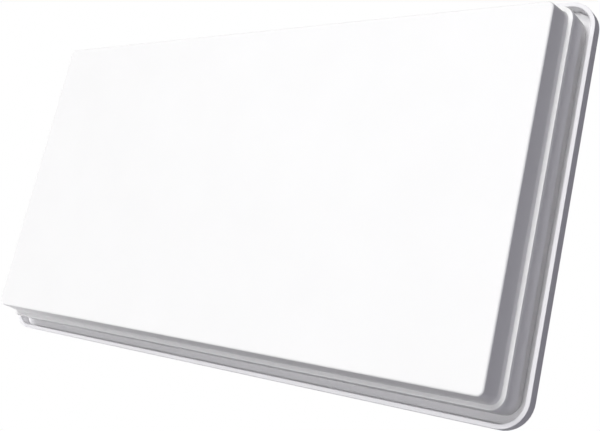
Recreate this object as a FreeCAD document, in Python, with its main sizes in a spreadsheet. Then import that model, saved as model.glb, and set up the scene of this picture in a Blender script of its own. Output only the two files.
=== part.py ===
"""Flat satellite antenna: a horn array with its feed plates under a stepped radome, seated in a back tray.

Frame of the part: origin at the centre of the rear mounting face, +X right, +Z up, front towards -Y.
Each piece is drawn lying on its back: x to the right, y up the panel, z from the mounting face (z = 0)
towards the front, and its Placement then stands it up.
"""
import FreeCAD, Part
import math
import os
import re
import Sketcher

# Driving sizes in millimetres and degrees: name, value, meaning.
SIZES = [
    ("horn_pitch", 31.2, "spacing of the horns, both ways"),
    ("horns_across", 16, "horns in a row"),
    ("horns_up", 8, "rows of horns"),
    ("horn_wall", 2.0, "wall between two horn mouths"),
    ("horn_throat", 15.0, "side of the square throat behind a horn"),
    ("horn_depth", 16.0, "thickness of the horn plate"),
    ("array_border", 1.5, "rim of the plates outside the outermost mouths"),
    ("array_corner", 2.0, "corner radius of the plates"),
    ("feed_depth", 9.65, "thickness of each feed plate"),
    ("channel_width", 8.0, "width of a waveguide channel"),
    ("channel_depth", 5.5, "depth of a waveguide channel"),
    ("slot_side", 11.0, "side of the slot that lets four horns reach the rear feed plate"),
    ("port_width", 19.05, "broad side of a waveguide port"),
    ("port_height", 9.5, "narrow side of a waveguide port"),
    ("radome_wall", 2.5, "wall of the radome"),
    ("array_gap", 1.7, "room between the plates and the radome's side wall"),
    ("face_gap", 3.0, "room between the horn mouths and the radome's face"),
    ("face_corner", 5.0, "corner radius of the radome's face"),
    ("face_edge", 1.6, "rounding of the edge round the face"),
    ("face_step", 19.2, "depth from the face to the ledge"),
    ("face_flare", 2.0, "how far the side wall leans out between face and ledge"),
    ("ledge_width", 4.25, "width of the ledge round the radome"),
    ("foot_reach", 0.7, "how far the foot of the leaning wall spreads over the ledge"),
    ("foot_lean", 18.6, "lean of that foot, in degrees"),
    ("brow_reach", 0.55, "how far the bevel at the ledge's outer edge cuts in"),
    ("brow_drop", 2.0, "depth of that bevel"),
    ("skirt_flare", 0.15, "how far the skirt leans out between ledge and tray"),
    ("seal_lip", 0.7, "lip of the skirt outside its seal groove"),
    ("seal_width", 1.3, "width of the seal"),
    ("seal_depth", 1.5, "depth of the seal groove"),
    ("moat_width", 6.2, "gutter between skirt and tray rim"),
    ("rim_wall", 3.1, "thickness of the tray rim"),
    ("rim_height", 7.8, "height of the rim above the gutter's floor"),
    ("rim_edge", 0.5, "rounding of the rim's front edges"),
    ("drain_width", 1.2, "width of the drain groove along the rim's foot"),
    ("drain_depth", 1.4, "depth of that groove"),
    ("tray_floor", 2.6, "floor of the tray"),
    ("tray_edge", 2.6, "rounding of the tray's rear outer edge"),
    ("tray_wall", 2.6, "wall of the tray's bulge"),
    ("locator_gap", 0.4, "room between the skirt and the locating fence"),
    ("locator_wall", 1.4, "thickness of the locating fence"),
    ("locator_height", 5.0, "height of the locating fence"),
    ("locator_room", 0.5, "room between the fence and a screw boss"),
    ("seat_width", 22.0, "how far the plates reach over the tray floor"),
    ("bulge_corner", 24.0, "corner radius of the bulge"),
    ("bulge_lean", 8.0, "lean of the bulge's walls, in degrees"),
    ("bulge_foot", 5.0, "hollow rounding at the foot of the bulge"),
    ("bulge_edge", 6.0, "rounding of the bulge's rear edge"),
    ("hub_radius", 66.0, "radius of the mounting hub"),
    ("hub_height", 4.0, "how far the hub stands behind the bulge"),
    ("hub_edge", 1.2, "rounding of the hub's edge"),
    ("dish_radius", 32.0, "radius of the hollow in the middle of the hub"),
    ("dish_depth", 2.4, "depth of that hollow"),
    ("scale_radius", 60.0, "circle of the tilt marks on the hub"),
    ("scale_step", 10.0, "angle between two tilt marks, in degrees"),
    ("scale_marks", 9, "number of tilt marks"),
    ("mark_length", 6.0, "length of a tilt mark"),
    ("mark_width", 1.2, "width of a tilt mark"),
    ("mark_depth", 0.8, "depth of a tilt mark"),
    ("bolt_circle", 45.0, "radius of the circle of mounting bolts"),
    ("insert_radius", 4.5, "outside of a threaded insert"),
    ("insert_length", 10.0, "length of a threaded insert"),
    ("insert_bore", 2.5, "core radius of the insert's thread"),
    ("insert_boss", 8.0, "radius of the boss round an insert"),
    ("boss_floor", 3.0, "closed end of a boss"),
    ("rib_width", 3.0, "width of an outer rib"),
    ("rib_height", 1.6, "height of an outer rib"),
    ("rib_pitch", 30.0, "spacing of the outer ribs"),
    ("rib_count", 5, "outer ribs at each side of the hub"),
    ("rib_length", 118.0, "length of an outer rib"),
    ("rib_start", 86.0, "distance of a rib's inner end from the middle"),
    ("screw_radius", 1.5, "shank of the case screws"),
    ("screw_slack", 0.1, "room round a shank"),
    ("head_radius", 2.9, "head of the case screws"),
    ("head_height", 2.0, "height of those heads"),
    ("screw_inset", 5.6, "distance of the cover screws from the skirt's outside"),
    ("screw_margin", 42.0, "distance of the last cover screw from the corner"),
    ("screw_spare", 1.0, "depth of a screw hole past the screw's end"),
    ("cover_bite", 10.0, "how far a cover screw reaches into the radome"),
    ("boss_radius", 3.3, "radius of a screw boss in the radome"),
    ("boss_height", 13.0, "height of a screw boss in the radome"),
    ("array_inset", 6.0, "distance of the array screws from the plates' edge"),
    ("array_bite", 7.0, "how far a screw reaches into the horn plate"),
    ("lnb_width", 100.0, "width of the converter housing"),
    ("lnb_height", 48.0, "height of the converter housing"),
    ("lnb_depth", 17.0, "depth of the converter housing"),
    ("lnb_drop", 73.0, "how far the converter's middle lies below the panel's middle"),
    ("lnb_wall", 2.5, "wall of the converter housing"),
    ("lnb_face", 3.0, "front wall of the converter housing"),
    ("lnb_corner", 4.0, "corner radius of the converter housing"),
    ("ear_reach", 10.0, "width of each fixing ear"),
    ("port_spread", 22.0, "spacing of the two ports"),
    ("lid_sheet", 1.2, "thickness of the converter's lid"),
    ("rear_gap", 2.4, "room behind the lid"),
    ("board_sheet", 1.0, "thickness of the circuit board"),
    ("board_gap", 0.5, "room round the circuit board"),
    ("board_level", 2.6, "height of the posts under the circuit board"),
    ("post_radius", 2.6, "radius of the posts in the converter"),
    ("post_inset", 5.5, "distance of the posts from the converter's outside"),
    ("small_radius", 1.0, "shank of the small screws"),
    ("small_head", 2.0, "head of the small screws"),
    ("small_head_height", 1.3, "height of the small heads"),
    ("small_bite", 4.0, "how far a small screw reaches in"),
    ("probe_radius", 0.65, "radius of a probe pin"),
    ("probe_reach", 6.0, "how far a probe pin reaches from the board"),
    ("socket_spread", 44.0, "spacing of the two cable sockets"),
    ("socket_level", 16.0, "distance of the sockets' axes from the mounting face"),
    ("thread_radius", 4.76, "outside of a socket's thread"),
    ("thread_length", 12.5, "length of a socket's thread"),
    ("thread_lead", 0.6, "bevel at the thread's end"),
    ("barrel_radius", 5.3, "radius of a socket's plain barrel"),
    ("flange_radius", 6.4, "radius of the flange against the converter"),
    ("flange_height", 3.0, "height of that flange"),
    ("stem_radius", 3.9, "radius of the stem through the converter's wall"),
    ("stem_reach", 1.5, "how far the stem stands inside the converter"),
    ("core_radius", 3.2, "radius of the insulator in a socket"),
    ("core_recess", 1.0, "how far the insulator lies back from the end"),
    ("contact_radius", 0.6, "hole for the cable's inner wire"),
    ("contact_depth", 9.0, "depth of that hole"),
    ("porch_width", 84.0, "width of the block that the sockets leave by"),
    ("porch_drop", 116.0, "distance of that block's lower face below the middle"),
    ("porch_corner", 3.0, "rounding of that block's edges"),
    ("porch_rear", 7.5, "distance of that block's rear from the mounting face"),
    ("grommet_radius", 7.2, "radius of the hole for a cable socket's grommet"),
    ("grommet_depth", 6.0, "how far a grommet reaches in"),
    ("collar_radius", 8.2, "radius of a grommet's collar"),
    ("collar_height", 2.0, "height of a grommet's collar"),
    ("fit_gap", 0.1, "room between a turned piece and its seat"),
    ("vent_radius", 5.0, "radius of the vent's hole"),
    ("vent_cap", 8.0, "radius of the vent's cap"),
    ("vent_rise", 2.4, "height of the vent's cap"),
    ("vent_barb", 3.5, "how far the vent reaches in"),
    ("vent_bore", 2.0, "radius of the vent's air way"),
    ("vent_cover", 1.0, "closed end of the vent's cap"),
    ("vent_edge", 0.8, "rounding of the vent's cap"),
    ("vent_lift", 84.0, "distance of the vent above the middle"),
]
SIZE_NAMES = {name for name, number, meaning in SIZES}

# Sizes that follow from the driving ones.
DERIVED = {
    "array_width": "horn_pitch * horns_across + 2 * array_border",
    "array_height": "horn_pitch * horns_up + 2 * array_border",
    "face_width": "array_width + 2 * (array_gap + radome_wall)",
    "face_height": "array_height + 2 * (array_gap + radome_wall)",
    "ledge_grow": "face_flare + ledge_width",
    "skirt_grow": "ledge_grow + skirt_flare",
    "brow_grow": "ledge_grow + skirt_flare * brow_drop / skirt_depth",
    "skirt_width": "face_width + 2 * skirt_grow",
    "skirt_height": "face_height + 2 * skirt_grow",
    "skirt_corner": "face_corner + skirt_grow",
    "rim_grow": "skirt_grow + moat_width + rim_wall",
    "tray_width": "face_width + 2 * rim_grow",
    "tray_height": "face_height + 2 * rim_grow",
    "tray_corner": "face_corner + rim_grow",
    "bulge_rear": "hub_height",
    "lid_rear": "hub_height + tray_wall + rear_gap",
    "lnb_rear": "lid_rear + lid_sheet",
    "floor_level": "lnb_rear + lnb_depth",
    "floor_rear": "floor_level - tray_floor",
    "rear_feed_front": "floor_level + feed_depth",
    "front_feed_front": "rear_feed_front + feed_depth",
    "horn_front": "front_feed_front + horn_depth",
    "face_level": "horn_front + face_gap + radome_wall",
    "ledge_level": "face_level - face_step",
    "skirt_depth": "ledge_level - floor_level",
    "hollow_width": "array_width - 2 * seat_width",
    "hollow_height": "array_height - 2 * seat_width",
    "cover_x": "skirt_width / 2 - screw_inset",
    "cover_y": "skirt_height / 2 - screw_inset",
    "array_x": "array_width / 2 - array_inset",
    "array_y": "array_height / 2 - array_inset",
    "lnb_bottom": "lnb_drop + lnb_height / 2",
    "board_rear": "floor_level - lnb_face - board_level - board_sheet",
    "thread_root": "porch_drop + collar_height",
    "thread_end": "thread_root + thread_length",
    "bolt_offset": "bolt_circle / sqrt(2)",
    "screw_hole": "screw_radius + screw_slack",
    "small_hole": "small_radius + screw_slack",
    "bulge_depth": "floor_rear - bulge_rear",
    "bulge_width": "hollow_width + 2 * tray_wall",
    "bulge_height": "hollow_height + 2 * tray_wall",
    "bulge_draw": "2 * bulge_depth * tan(bulge_lean)",
    "lid_x": "lnb_width / 2 - post_inset",
    "lid_y": "lnb_height / 2 - post_inset",
    "board_width": "lnb_width - 2 * (post_inset + post_radius + board_gap)",
    "board_height": "lnb_height - 2 * (lnb_wall + board_gap)",
    "board_x": "board_width / 2 - post_inset",
    "board_y": "board_height / 2 - post_inset",
    "ear_x": "(lnb_width + ear_reach) / 2",
    "socket_inner": "lnb_bottom - lnb_wall - stem_reach",
    "front_port": "lnb_drop + port_spread / 2",
    "rear_port": "lnb_drop - port_spread / 2",
}

document = FreeCAD.newDocument("flat_antenna")
sheet = document.addObject("Spreadsheet::Sheet", "Sizes")
for row, (name, number, meaning) in enumerate(SIZES, start=1):
    sheet.set(f"A{row}", name)
    sheet.set(f"B{row}", str(number))
    sheet.set(f"C{row}", meaning)
    sheet.setAlias(f"B{row}", name)
gauge = document.addObject("App::FeaturePython", "Gauge")
gauge.addProperty("App::PropertyFloat", "reading")
document.recompute()

# Stands a piece up: its front turns from +z to -Y, its upper edge from +y to +Z.
UPRIGHT = FreeCAD.Placement(FreeCAD.Vector(), FreeCAD.Rotation(FreeCAD.Vector(1, 0, 0), 90))
nodes = []


def ref(expression):
    """Replace derived names by what they stand for, and size names by their cells of the sheet."""
    def swap(match):
        word = match.group(0)
        if word in DERIVED:
            return "(" + ref(DERIVED[word]) + ")"
        if word in SIZE_NAMES:
            return "Sizes." + word
        return word
    return re.sub(r"[A-Za-z_]\w*", swap, str(expression))


def now(expression):
    """Read the present value of an expression."""
    gauge.setExpression("reading", ref(expression))
    gauge.recompute()
    return gauge.reading


def new_body(label, several=False):
    """Start a piece: an upright body, which may hold several separate solids."""
    body = document.addObject("PartDesign::Body", label)
    body.Label = label
    body.AllowCompound = several
    body.Placement = UPRIGHT
    nodes.append(body)
    return body


def origin_item(body, role):
    """Find a plane or an axis of a body's origin."""
    return next(item for item in body.Origin.OriginFeatures if item.Role == role)


def new_sketch(body, name, level, plane="XY_Plane"):
    """Attach a sketch to an origin plane of its body, raised to a level."""
    sketch = body.newObject("Sketcher::SketchObject", name)
    sketch.AttachmentSupport = [(origin_item(body, plane), "")]
    sketch.MapMode = "FlatFace"
    sketch.setExpression("AttachmentOffset.Base.z", ref(level))
    return sketch


def bind(sketch, kind, *places, to):
    """Add a dimension to a sketch and bind it to an expression."""
    number = now(to)
    index = sketch.addConstraint(Sketcher.Constraint(kind, *places, number))
    sketch.setExpression(f"Constraints[{index}]", ref(to))


def bind_point(sketch, geometry, point, x, y):
    """Fix a point of a sketch at two coordinates."""
    bind(sketch, "DistanceX", -1, 1, geometry, point, to=x)
    bind(sketch, "DistanceY", -1, 1, geometry, point, to=y)


def add_loop(sketch, points):
    """Draw a closed loop of straight lines through points whose coordinates are expressions."""
    spots = [FreeCAD.Vector(now(x), now(y), 0) for x, y in points]
    first = sketch.GeometryCount
    count = len(points)
    for index in range(count):
        sketch.addGeometry(Part.LineSegment(spots[index], spots[(index + 1) % count]), False)
    for index in range(count):
        after = first + (index + 1) % count
        sketch.addConstraint(Sketcher.Constraint("Coincident", first + index, 2, after, 1))
        bind_point(sketch, first + index, 1, *points[index])


def add_box(sketch, width, height, x="0", y="0"):
    """Draw a rectangle about a centre."""
    left = f"{x} - ({width}) / 2"
    right = f"{x} + ({width}) / 2"
    low = f"{y} - ({height}) / 2"
    high = f"{y} + ({height}) / 2"
    add_loop(sketch, [(left, low), (right, low), (right, high), (left, high)])


def add_round_box(sketch, width, height, corner, x="0", y="0"):
    """Draw a rectangle with rounded corners about a centre."""
    across = now(f"({width}) / 2 - ({corner})")
    up = now(f"({height}) / 2 - ({corner})")
    radius = now(corner)
    middle = FreeCAD.Vector(now(x), now(y), 0)
    signs = [(1, 1), (-1, 1), (-1, -1), (1, -1)]
    quarter = math.pi / 2
    arcs = []
    for turn, (side, rise) in enumerate(signs):
        centre = middle + FreeCAD.Vector(side * across, rise * up, 0)
        circle = Part.Circle(centre, FreeCAD.Vector(0, 0, 1), radius)
        arc = Part.ArcOfCircle(circle, turn * quarter, (turn + 1) * quarter)
        arcs.append(sketch.addGeometry(arc, False))
    for turn, (side, rise) in enumerate(signs):
        after = (turn + 1) % 4
        tail = sketch.Geometry[arcs[turn]].EndPoint
        head = sketch.Geometry[arcs[after]].StartPoint
        line = sketch.addGeometry(Part.LineSegment(tail, head), False)
        sketch.addConstraint(Sketcher.Constraint("Tangent", arcs[turn], 2, line, 1))
        sketch.addConstraint(Sketcher.Constraint("Tangent", line, 2, arcs[after], 1))
        bind_point(sketch, arcs[turn], 3, f"{x} + {side} * (({width}) / 2 - ({corner}))",
                   f"{y} + {rise} * (({height}) / 2 - ({corner}))")
        bind(sketch, "Radius", arcs[turn], to=corner)


def add_circles(sketch, points, radius):
    """Draw equal circles at points whose coordinates are expressions."""
    for x, y in points:
        centre = FreeCAD.Vector(now(x), now(y), 0)
        circle = sketch.addGeometry(Part.Circle(centre, FreeCAD.Vector(0, 0, 1), now(radius)), False)
        bind_point(sketch, circle, 3, x, y)
        bind(sketch, "Radius", circle, to=radius)


def pad(sketch, length, backward=False, taper="0"):
    """Raise a sketch towards the front, or the back; a positive taper widens it on the way."""
    body = sketch.getParentGeoFeatureGroup()
    feature = body.newObject("PartDesign::Pad", sketch.Name + "Pad")
    feature.Profile = sketch
    feature.Reversed = backward
    feature.setExpression("Length", ref(length))
    feature.setExpression("TaperAngle", ref(taper))
    document.recompute()
    return feature


def cut(sketch, depth, forward=False, taper="0"):
    """Cut a sketch towards the back, or the front, and make sure that it took something away."""
    body = sketch.getParentGeoFeatureGroup()
    before = body.Shape.Volume
    feature = body.newObject("PartDesign::Pocket", sketch.Name + "Cut")
    feature.Profile = sketch
    feature.Reversed = forward
    feature.setExpression("Length", ref(depth))
    feature.setExpression("TaperAngle", ref(taper))
    document.recompute()
    if not body.Shape.Volume < before:
        raise RuntimeError(f"{body.Label}: {feature.Name} cut nothing")
    return feature


def repeat(feature, across, pitch_across, up, pitch_up):
    """Repeat a feature in a grid, to the right and up, with equal gaps."""
    body = feature.getParentGeoFeatureGroup()
    pattern = body.newObject("PartDesign::LinearPattern", feature.Name + "Grid")
    pattern.Originals = [feature]
    pattern.Direction = (origin_item(body, "X_Axis"), [""])
    pattern.Direction2 = (origin_item(body, "Y_Axis"), [""])
    pattern.Mode = "Spacing"
    pattern.Mode2 = "Spacing"
    pattern.Spacings2 = pattern.Spacings
    pattern.setExpression("Occurrences", ref(across))
    pattern.setExpression("Occurrences2", ref(up))
    pattern.setExpression("Offset", ref(pitch_across))
    pattern.setExpression("Offset2", ref(pitch_up))
    body.Tip = pattern
    document.recompute()


def loop_edges(body, level, width, height):
    """Name the edges of the rounded rectangle of a given size that lies at a level."""
    depth = now(level)
    half_width = now(f"({width}) / 2")
    half_height = now(f"({height}) / 2")
    near = 0.01
    names = []
    for index, edge in enumerate(body.Tip.Shape.Edges, start=1):
        box = edge.BoundBox
        flat = abs(box.ZMin - depth) < near and abs(box.ZMax - depth) < near
        ends = [vertex.Point for vertex in edge.Vertexes]
        on_loop = all(abs(abs(end.x) - half_width) < near or abs(abs(end.y) - half_height) < near
                      for end in ends)
        if flat and on_loop:
            names.append(f"Edge{index}")
    return names


def circle_edges(body, level, radius):
    """Name the full circles of a given radius that lie at a level."""
    depth = now(level)
    size = now(radius)
    names = []
    for index, edge in enumerate(body.Tip.Shape.Edges, start=1):
        round_edge = edge.Curve.TypeId == "Part::GeomCircle" and abs(edge.Curve.Radius - size) < 0.01
        if round_edge and abs(edge.Curve.Center.z - depth) < 0.01:
            names.append(f"Edge{index}")
    return names


def soften(body, names, radius):
    """Round the named edges of a body."""
    if not names:
        raise RuntimeError(f"{body.Label}: no edge to round by {radius}")
    feature = body.newObject("PartDesign::Fillet", "Fillet")
    feature.Base = (feature.BaseFeature, names)
    feature.setExpression("Radius", ref(radius))
    document.recompute()


def mirror_points(x, y, drop="0"):
    """Four points, mirrored left to right and up to down about a middle that lies below the origin."""
    return [(f"{side} * ({x})", f"{rise} * ({y}) - ({drop})") for side in (-1, 1) for rise in (-1, 1)]


def cover_points():
    """Cover screws: five along each long side, three along each short side."""
    step = "(cover_x - screw_margin) / 2"
    points = [(f"{place} * {step}", f"{rise} * cover_y") for place in range(-2, 3) for rise in (-1, 1)]
    rise_step = "(cover_y - screw_margin)"
    points += [(f"{side} * cover_x", f"{place} * {rise_step}") for place in range(-1, 2) for side in (-1, 1)]
    return points


def array_points():
    """Array screws: between the horns, five along each long side and two along each short side."""
    points = [(f"{place} * 3 * horn_pitch", f"{rise} * array_y")
              for place in range(-2, 3) for rise in (-1, 1)]
    points += [(f"{side} * array_x", f"{rise} * 2 * horn_pitch") for side in (-1, 1) for rise in (-1, 1)]
    return points


def stack_points():
    """Stack screws: where four horns meet and no channel runs."""
    return mirror_points("4 * horn_pitch", "2 * horn_pitch") + [("0", "2 * horn_pitch")]


def socket_places():
    """The two cable sockets, by side."""
    return (("left", -1), ("right", 1))


def make_radome():
    """White moulded cover: flat face, leaning wall, ledge and skirt, hollow behind, with screw bosses."""
    body = new_body("radome")
    slope = "atan(skirt_flare / skirt_depth)"
    lean = "atan(face_flare / face_step)"
    brow = new_sketch(body, "Brow", "ledge_level")
    add_grown_box(brow, "ledge_grow - brow_reach")
    pad(brow, "brow_drop", backward=True, taper="atan((brow_grow - ledge_grow + brow_reach) / brow_drop)")
    skirt = new_sketch(body, "Skirt", "ledge_level - brow_drop")
    add_grown_box(skirt, "brow_grow")
    pad(skirt, "skirt_depth - brow_drop", backward=True, taper=slope)
    foot = new_sketch(body, "Foot", "ledge_level")
    add_grown_box(foot, "face_flare + foot_reach")
    pad(foot, "(face_flare + foot_reach) / tan(foot_lean)", taper="-foot_lean")
    face = new_sketch(body, "Face", "face_level")
    add_grown_box(face, "0")
    pad(face, "face_step", backward=True, taper=lean)
    soften(body, loop_edges(body, "face_level", "face_width", "face_height"), "face_edge")

    inside = new_sketch(body, "FaceInside", "face_level - radome_wall")
    add_round_box(inside, "face_width - 2 * radome_wall", "face_height - 2 * radome_wall",
                  "face_corner - radome_wall")
    cut(inside, "face_step", taper=lean)
    lower = new_sketch(body, "SkirtInside", "floor_level")
    add_round_box(lower, "skirt_width - 2 * radome_wall", "skirt_height - 2 * radome_wall",
                  "skirt_corner - radome_wall")
    cut(lower, "skirt_depth - radome_wall", forward=True, taper=f"-{slope}")
    groove = new_sketch(body, "SealGroove", "floor_level")
    add_seal(groove)
    cut(groove, "seal_depth", forward=True)

    bosses = new_sketch(body, "Bosses", "floor_level")
    add_circles(bosses, cover_points(), "boss_radius")
    pad(bosses, "boss_height")
    pilots = new_sketch(body, "Pilots", "floor_level")
    add_circles(pilots, cover_points(), "screw_hole")
    cut(pilots, "cover_bite + screw_spare", forward=True)


def add_grown_box(sketch, grow):
    """Draw the face's outline, grown by the same distance all round."""
    add_round_box(sketch, f"face_width + 2 * ({grow})", f"face_height + 2 * ({grow})",
                  f"face_corner + ({grow})")


def add_seal(sketch):
    """Draw the seal's ring: the space between two rounded rectangles inside the skirt's edge."""
    for inset in ("seal_lip", "(seal_lip + seal_width)"):
        add_round_box(sketch, f"skirt_width - 2 * {inset}", f"skirt_height - 2 * {inset}",
                      f"skirt_corner - {inset}")


def make_seal():
    """Rubber ring between the skirt's edge and the tray's floor."""
    body = new_body("seal_ring")
    ring = new_sketch(body, "Ring", "floor_level")
    add_seal(ring)
    pad(ring, "seal_depth")


def make_tray():
    """White moulded back: flange with gutter, drain groove and rim, hollow bulge, hub and socket porch."""
    body = new_body("back_tray")
    outline = ("tray_width", "tray_height")
    plate = new_sketch(body, "Plate", "floor_rear")
    add_round_box(plate, *outline, "tray_corner")
    pad(plate, "tray_floor + rim_height")
    soften(body, loop_edges(body, "floor_rear", *outline), "tray_edge")
    gutter_size = ("tray_width - 2 * rim_wall", "tray_height - 2 * rim_wall")
    gutter = new_sketch(body, "Gutter", "floor_level + rim_height")
    add_round_box(gutter, *gutter_size, "tray_corner - rim_wall")
    cut(gutter, "rim_height")
    drain = new_sketch(body, "Drain", "floor_level")
    for inset in ("rim_wall", "(rim_wall + drain_width)"):
        add_round_box(drain, f"tray_width - 2 * {inset}", f"tray_height - 2 * {inset}",
                      f"tray_corner - {inset}")
    cut(drain, "drain_depth")
    rim_edges = loop_edges(body, "floor_level + rim_height", *outline)
    rim_edges += loop_edges(body, "floor_level + rim_height", *gutter_size)
    soften(body, rim_edges, "rim_edge")

    bulge = new_sketch(body, "Bulge", "floor_rear")
    add_round_box(bulge, "bulge_width", "bulge_height", "bulge_corner")
    pad(bulge, "bulge_depth", backward=True, taper="-bulge_lean")
    soften(body, loop_edges(body, "floor_rear", "bulge_width", "bulge_height"), "bulge_foot")
    rear_loop = loop_edges(body, "bulge_rear", "bulge_width - bulge_draw", "bulge_height - bulge_draw")
    soften(body, rear_loop, "bulge_edge")
    add_porch(body)
    hub = new_sketch(body, "Hub", "0")
    add_circles(hub, [("0", "0")], "hub_radius")
    pad(hub, "hub_height")
    soften(body, circle_edges(body, "0", "hub_radius"), "hub_edge")
    add_ribs(body)

    hollow = new_sketch(body, "Hollow", "floor_level")
    add_round_box(hollow, "hollow_width", "hollow_height", "bulge_corner - tray_wall")
    cut(hollow, "floor_level - bulge_rear - tray_wall", taper="-bulge_lean")
    add_mounting(body)
    add_fence(body)
    for name, points in (("CoverHoles", cover_points()), ("ArrayHoles", array_points())):
        holes = new_sketch(body, name, "floor_level")
        add_circles(holes, points, "screw_hole")
        cut(holes, "tray_floor")
    ways = new_sketch(body, "SocketWays", "porch_drop", plane="XZ_Plane")
    add_circles(ways, [(f"{sign} * socket_spread / 2", "socket_level") for side, sign in socket_places()],
                "grommet_radius")
    cut(ways, "porch_drop - hollow_height / 2 + tray_wall")
    vent = new_sketch(body, "VentHole", "bulge_rear")
    add_circles(vent, [("0", "vent_lift")], "vent_radius")
    cut(vent, "tray_wall", forward=True)


def add_porch(body):
    """Block under the bulge whose flat lower face lets the cable sockets out."""
    porch = new_sketch(body, "Porch", "porch_rear")
    top = "(hollow_height / 2 - porch_corner)"
    add_round_box(porch, "porch_width", f"porch_drop - {top}", "porch_corner", y=f"-(porch_drop + {top}) / 2")
    pad(porch, "floor_rear - porch_rear")


def add_ribs(body):
    """Low level ribs on the bulge, at each side of the hub."""
    ribs = new_sketch(body, "Ribs", "bulge_rear")
    middle = "(rib_start + rib_length / 2)"
    add_round_box(ribs, "rib_length", "rib_width", "rib_width / 3", x=f"-{middle}",
                  y="-(rib_count - 1) / 2 * rib_pitch")
    first = pad(ribs, "rib_height", backward=True)
    repeat(first, "2", f"2 * {middle}", "rib_count", "rib_pitch")


def add_mounting(body):
    """Hub details: hollow middle, bosses and seats of the threaded inserts, and tilt marks."""
    dish = new_sketch(body, "Dish", "0")
    add_circles(dish, [("0", "0")], "dish_radius")
    cut(dish, "dish_depth", forward=True)
    points = mirror_points("bolt_offset", "bolt_offset")
    bosses = new_sketch(body, "InsertBosses", "bulge_rear")
    add_circles(bosses, points, "insert_boss")
    pad(bosses, "insert_length + boss_floor - bulge_rear")
    seats = new_sketch(body, "InsertSeats", "0")
    add_circles(seats, points, "insert_radius")
    cut(seats, "insert_length", forward=True)
    marks = new_sketch(body, "TiltMarks", "0")
    count = int(now("scale_marks"))
    for mark in range(count):
        angle = f"({mark} - (scale_marks - 1) / 2) * scale_step"
        corners = [(-1, -1), (1, -1), (1, 1), (-1, 1)]
        loop = []
        for side, end in corners:
            reach = f"(scale_radius + {end} * mark_length / 2)"
            width = f"({side} * mark_width / 2)"
            loop.append((f"{reach} * sin({angle}) + {width} * cos({angle})",
                         f"{reach} * cos({angle}) - {width} * sin({angle})"))
        add_loop(marks, loop)
    cut(marks, "mark_depth", forward=True)


def add_fence(body):
    """Low fence on the floor that the skirt slips over, open at each screw boss."""
    fence = new_sketch(body, "Fence", "floor_level")
    for inset in ("(radome_wall + locator_gap)", "(radome_wall + locator_gap + locator_wall)"):
        add_round_box(fence, f"skirt_width - 2 * {inset}", f"skirt_height - 2 * {inset}",
                      f"skirt_corner - {inset}")
    pad(fence, "locator_height")
    room = new_sketch(body, "FenceGaps", "floor_level + locator_height")
    add_circles(room, cover_points(), "boss_radius + locator_room")
    cut(room, "locator_height")


def make_screws(label, points, seat, shank, head, head_height, length):
    """A set of equal screws: flat heads behind a seat, shanks reaching forward from it."""
    body = new_body(label, several=True)
    heads = new_sketch(body, "Heads", seat)
    add_circles(heads, points, head)
    pad(heads, head_height, backward=True)
    shanks = new_sketch(body, "Shanks", seat)
    add_circles(shanks, points, shank)
    pad(shanks, length)


def new_plate(label, level, depth):
    """A plate of the array's outline."""
    body = new_body(label)
    plate = new_sketch(body, "Plate", level)
    add_round_box(plate, "array_width", "array_height", "array_corner")
    pad(plate, depth)
    return body


def bore(body, name, level, points, radius, depth):
    """Bore equal holes forward from a level."""
    holes = new_sketch(body, name, level)
    add_circles(holes, points, radius)
    cut(holes, depth, forward=True)


def make_horn_plate():
    """Plated moulding with a grid of square horns that narrow to their throats."""
    body = new_plate("horn_plate", "front_feed_front", "horn_depth")
    horn = body.newObject("PartDesign::SubtractiveWedge", "Horn")
    horn.AttachmentSupport = [(origin_item(body, "XY_Plane"), "")]
    horn.MapMode = "FlatFace"
    horn.AttachmentOffset = UPRIGHT
    middle_x = "-(horns_across - 1) / 2 * horn_pitch"
    middle_z = "(horns_up - 1) / 2 * horn_pitch"
    throat = "horn_throat / 2"
    mouth = "(horn_pitch - horn_wall) / 2"
    extents = [("Xmin", f"{middle_x} - {throat}"), ("Xmax", f"{middle_x} + {throat}"),
               ("Zmin", f"{middle_z} - {throat}"), ("Zmax", f"{middle_z} + {throat}"),
               ("X2min", f"{middle_x} - {mouth}"), ("X2max", f"{middle_x} + {mouth}"),
               ("Z2min", f"{middle_z} - {mouth}"), ("Z2max", f"{middle_z} + {mouth}"),
               ("Ymin", "front_feed_front"), ("Ymax", "horn_front")]
    for name, extent in extents:
        horn.setExpression(name, ref(extent))
    document.recompute()
    repeat(horn, "horns_across", "horn_pitch", "horns_up", "horn_pitch")
    bore(body, "Pilots", "front_feed_front", array_points() + stack_points(), "screw_hole",
         "array_bite + screw_spare")


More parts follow.
